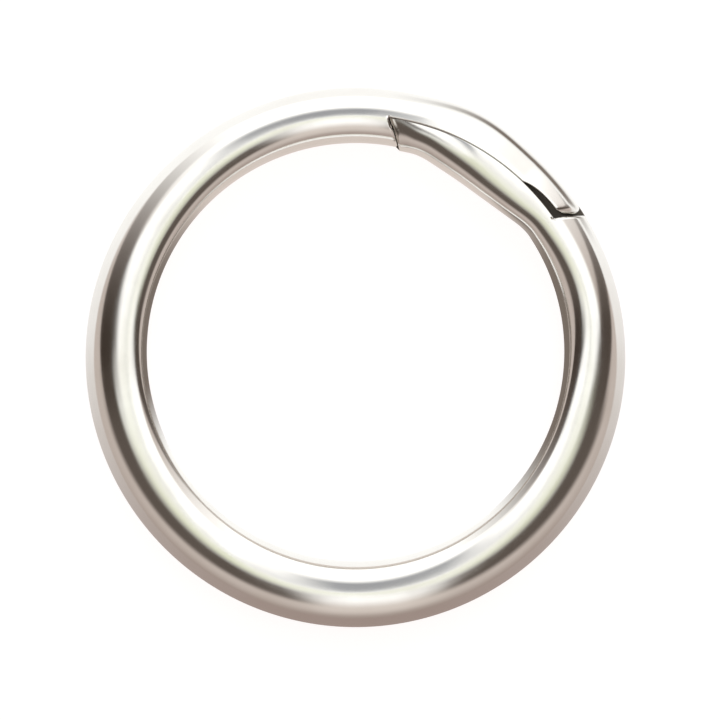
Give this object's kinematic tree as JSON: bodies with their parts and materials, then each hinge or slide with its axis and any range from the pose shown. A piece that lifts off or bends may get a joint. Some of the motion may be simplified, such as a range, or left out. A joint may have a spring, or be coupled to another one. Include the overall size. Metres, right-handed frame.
{
  "type": "split jump ring",
  "caption": "Small round split jump ring of polished plated wire, coiled double and pressed to a round section, with a stepped joint on one side.",
  "frame": {"origin": "centre of the rim, on the surface that the ring lies on", "axes": "+Z along the ring's axis, +Y towards the joint's side of the ring, with the joint between 35 and 82 degrees from +X"},
  "size_m": [0.008, 0.008, 0.0009],
  "materials": {
    "plated_wire": "bright silver-coloured plating, polished"
  },
  "bodies": {
    "root": {"split_ring": "plated_wire"}
  },
  "joints": []
}
